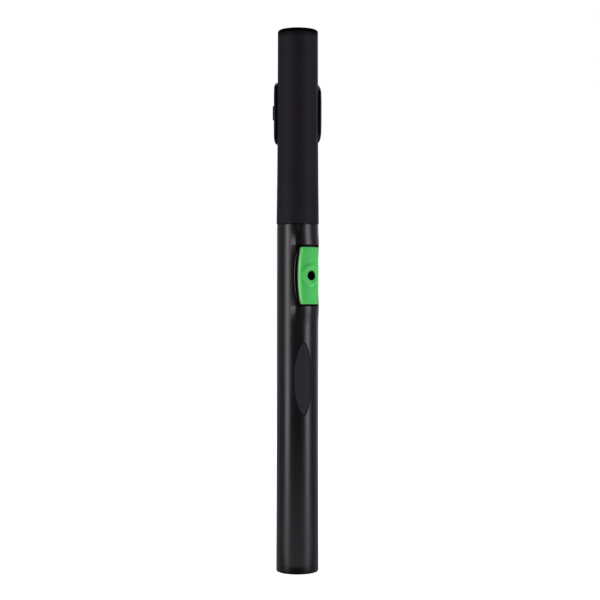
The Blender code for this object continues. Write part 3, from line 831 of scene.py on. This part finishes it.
def o_ring(node, body):
    """A round rubber ring, as high and as wide as its CAD node."""
    low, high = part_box(node)
    z, outer, size = middle(node), high.x, 0.7 * MM
    section = arc(outer - size, z, size, 0, 360, 17)[:-1]
    section = [(r, z + (h - z) * (high.z - low.z) / (2 * size)) for r, h in section]
    made = lathe(node + "_skin", section, MATERIALS["seal_rubber"], 144, sharp=60)
    return stand_for(made, body, "seal_rubber", node)


def stopper():
    """The plug with its two ring grooves, its lower face a shallow dish."""
    low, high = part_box("stopper_plug")[0].z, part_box("stopper_plug")[1].z
    r, groove_r = 8.35 * MM, 6.98 * MM
    profile = [(0.02 * MM, low + 1.0 * MM), (4.0 * MM, low + 0.7 * MM), (6.6 * MM, low)]
    profile += arc(r - 0.4 * MM, low + 0.4 * MM, 0.4 * MM, -90, 0, 5)
    for node in STOPPER_RINGS:
        under, over = middle(node) - GROOVE_HALF, middle(node) + GROOVE_HALF
        profile += [(r, under), (groove_r, under), (groove_r, over), (r, over)]
    profile += [(r, high - 0.3 * MM), (r - 0.3 * MM, high), (0.02 * MM, high)]
    made = lathe("stopper_plug_skin", profile, MATERIALS["body_plastic"], 96)
    return stand_for(made, "head", "body_plastic", "stopper_plug")


def crown():
    """The crown cap: a gently dished disc with a turned groove, on a hollow spigot."""
    foot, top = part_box("crown_cap")[0].z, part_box("crown_cap")[1].z
    disc_r, spigot_r, hollow_r = 9.72 * MM, 8.35 * MM, 6.5 * MM
    under = COUNTERBORE_Z + 0.15 * MM
    profile = arc(disc_r - 0.35 * MM, top - 0.35 * MM, 0.35 * MM, 0, 90, 5)
    profile += [(8.3 * MM, top), (8.15 * MM, top - 0.2 * MM), (7.95 * MM, top - 0.2 * MM), (7.8 * MM, top)]
    profile += [(r * MM, top - 0.35 * MM * (1 - (r / 7.8) ** 2)) for r in (6.8, 5.4, 4.0, 2.6, 1.2, 0.02)]
    profile += [(0.02 * MM, under + 0.05 * MM), (hollow_r, under + 0.05 * MM), (hollow_r, foot)]
    profile += [(spigot_r, foot), (spigot_r, under), (disc_r, under)]
    made = lathe("crown_cap_skin", profile, MATERIALS["head_plastic"], 144)
    return stand_for(made, "head", "head_plastic", "crown_cap")


# ---------------------------------------------------------------- studio

def area_light(name, place, aim, size, power, colour=(1, 1, 1)):
    """A softbox that the camera doesn't see."""
    lamp = bpy.data.lights.new(name, "AREA")
    lamp.shape = "RECTANGLE"
    lamp.size, lamp.size_y = size
    lamp.energy = power
    lamp.color = colour
    made = bpy.data.objects.new(name, lamp)
    bpy.context.collection.objects.link(made)
    made.location = place
    made.rotation_euler = (Vector(aim) - made.location).to_track_quat("-Z", "Y").to_euler()
    made.visible_camera = False
    return made


def round_tube(turn, z):
    """A place at the lights' distance, turned this far from the camera's side."""
    return (STRIP_DISTANCE * math.sin(turn), -STRIP_DISTANCE * math.cos(turn), z)


def lights():
    """Tall strips for the highlights, washes for the dull surfaces, a weak rim, a softbox and a low card."""
    strip_z, strip_length = (STRIP_LOW + STRIP_HIGH) / 2, STRIP_HIGH - STRIP_LOW
    for name, side, power in (("left", -1, STRIP_POWER[0]), ("right", 1, STRIP_POWER[1])):
        place = round_tube(side * STRIP_TURN, strip_z)
        size = (STRIP_WIDTH, strip_length)
        strip = area_light("strip_" + name, place, (0, 0, strip_z), size, power, STRIP_COLOUR)
        strip.visible_diffuse = False
        place = round_tube(side * WASH_TURN, WASH_Z)
        wash = area_light("wash_" + name, place, (0, 0, CAMERA_Z), WASH_SIZE, WASH_POWER)
        wash.visible_glossy = False
    place = round_tube(RIM_TURN, strip_z)
    area_light("rim_right", place, (0, 0, strip_z), (RIM_WIDTH, strip_length), RIM_POWER)
    area_light("overhead", OVERHEAD_PLACE, (0, 0, CAMERA_Z), OVERHEAD_SIZE, OVERHEAD_POWER)
    area_light("low_card", CARD_PLACE, (*CARD_PLACE[:2], 1), CARD_SIZE, CARD_POWER, STRIP_COLOUR)


def floor():
    """A plain pale floor that glows a little, so that it stays as bright as the background."""
    bpy.ops.mesh.primitive_circle_add(vertices=96, radius=4.0, fill_type="NGON", location=(0, 0, FOOT))
    made = bpy.context.object
    made.name = "floor"
    paint, _, shader = shader_material("pale_floor", (0.90, 0.90, 0.90), 0.8)
    shader.inputs["Emission Color"].default_value = (1, 1, 1, 1)
    shader.inputs["Emission Strength"].default_value = 0.85
    made.data.materials.append(paint)
    made.visible_glossy = False


def backdrop():
    """White for the camera. The object sees a dim room instead, brighter behind it than in front."""
    world = bpy.data.worlds.new("studio")
    bpy.context.scene.world = world
    world.use_nodes = True
    nodes, links = world.node_tree.nodes, world.node_tree.links
    white = nodes["Background"]
    white.inputs["Color"].default_value = (1, 1, 1, 1)
    white.inputs["Strength"].default_value = 1.0
    fill = nodes.new("ShaderNodeBackground")
    fill.inputs["Color"].default_value = FILL_COLOUR
    coords = nodes.new("ShaderNodeTexCoord")
    split = nodes.new("ShaderNodeSeparateXYZ")
    ramp = nodes.new("ShaderNodeMapRange")
    ramp.interpolation_type = "SMOOTHSTEP"
    for key, value in FILL_RAMP.items():
        ramp.inputs[key].default_value = value
    links.new(coords.outputs["Generated"], split.inputs["Vector"])
    links.new(split.outputs["Y"], ramp.inputs["Value"])
    links.new(ramp.outputs["Result"], fill.inputs["Strength"])
    path = nodes.new("ShaderNodeLightPath")
    mix = nodes.new("ShaderNodeMixShader")
    links.new(path.outputs["Is Camera Ray"], mix.inputs["Fac"])
    links.new(fill.outputs["Background"], mix.inputs[1])
    links.new(white.outputs["Background"], mix.inputs[2])
    links.new(mix.outputs["Shader"], nodes["World Output"].inputs["Surface"])


def camera():
    lens = bpy.data.cameras.new("camera")
    lens.lens = CAMERA_LENS
    lens.sensor_width = 36.0
    lens.clip_start, lens.clip_end = 0.01, 50.0
    made = bpy.data.objects.new("camera", lens)
    bpy.context.collection.objects.link(made)
    made.location = (CAMERA_X, -CAMERA_DISTANCE, CAMERA_Z)
    made.rotation_euler = Euler((math.pi / 2, 0, 0))
    made.rotation_euler.rotate_axis("Z", CAMERA_ROLL)
    bpy.context.scene.camera = made


camera()
body_shell()
alignment_ribs()
for site in SITES:
    key_skin(site)
    frame_skin(site)
thumb_rest()
for node in TENON_RINGS:
    o_ring(node, "tenon_rings")
head_shell()
lip_plate_skin()
snap_lug()
plate_seal()
stopper()
for node in STOPPER_RINGS:
    o_ring(node, "head")
crown()
lights()
floor()
backdrop()
bpy.context.scene.view_settings.view_transform = "Standard"
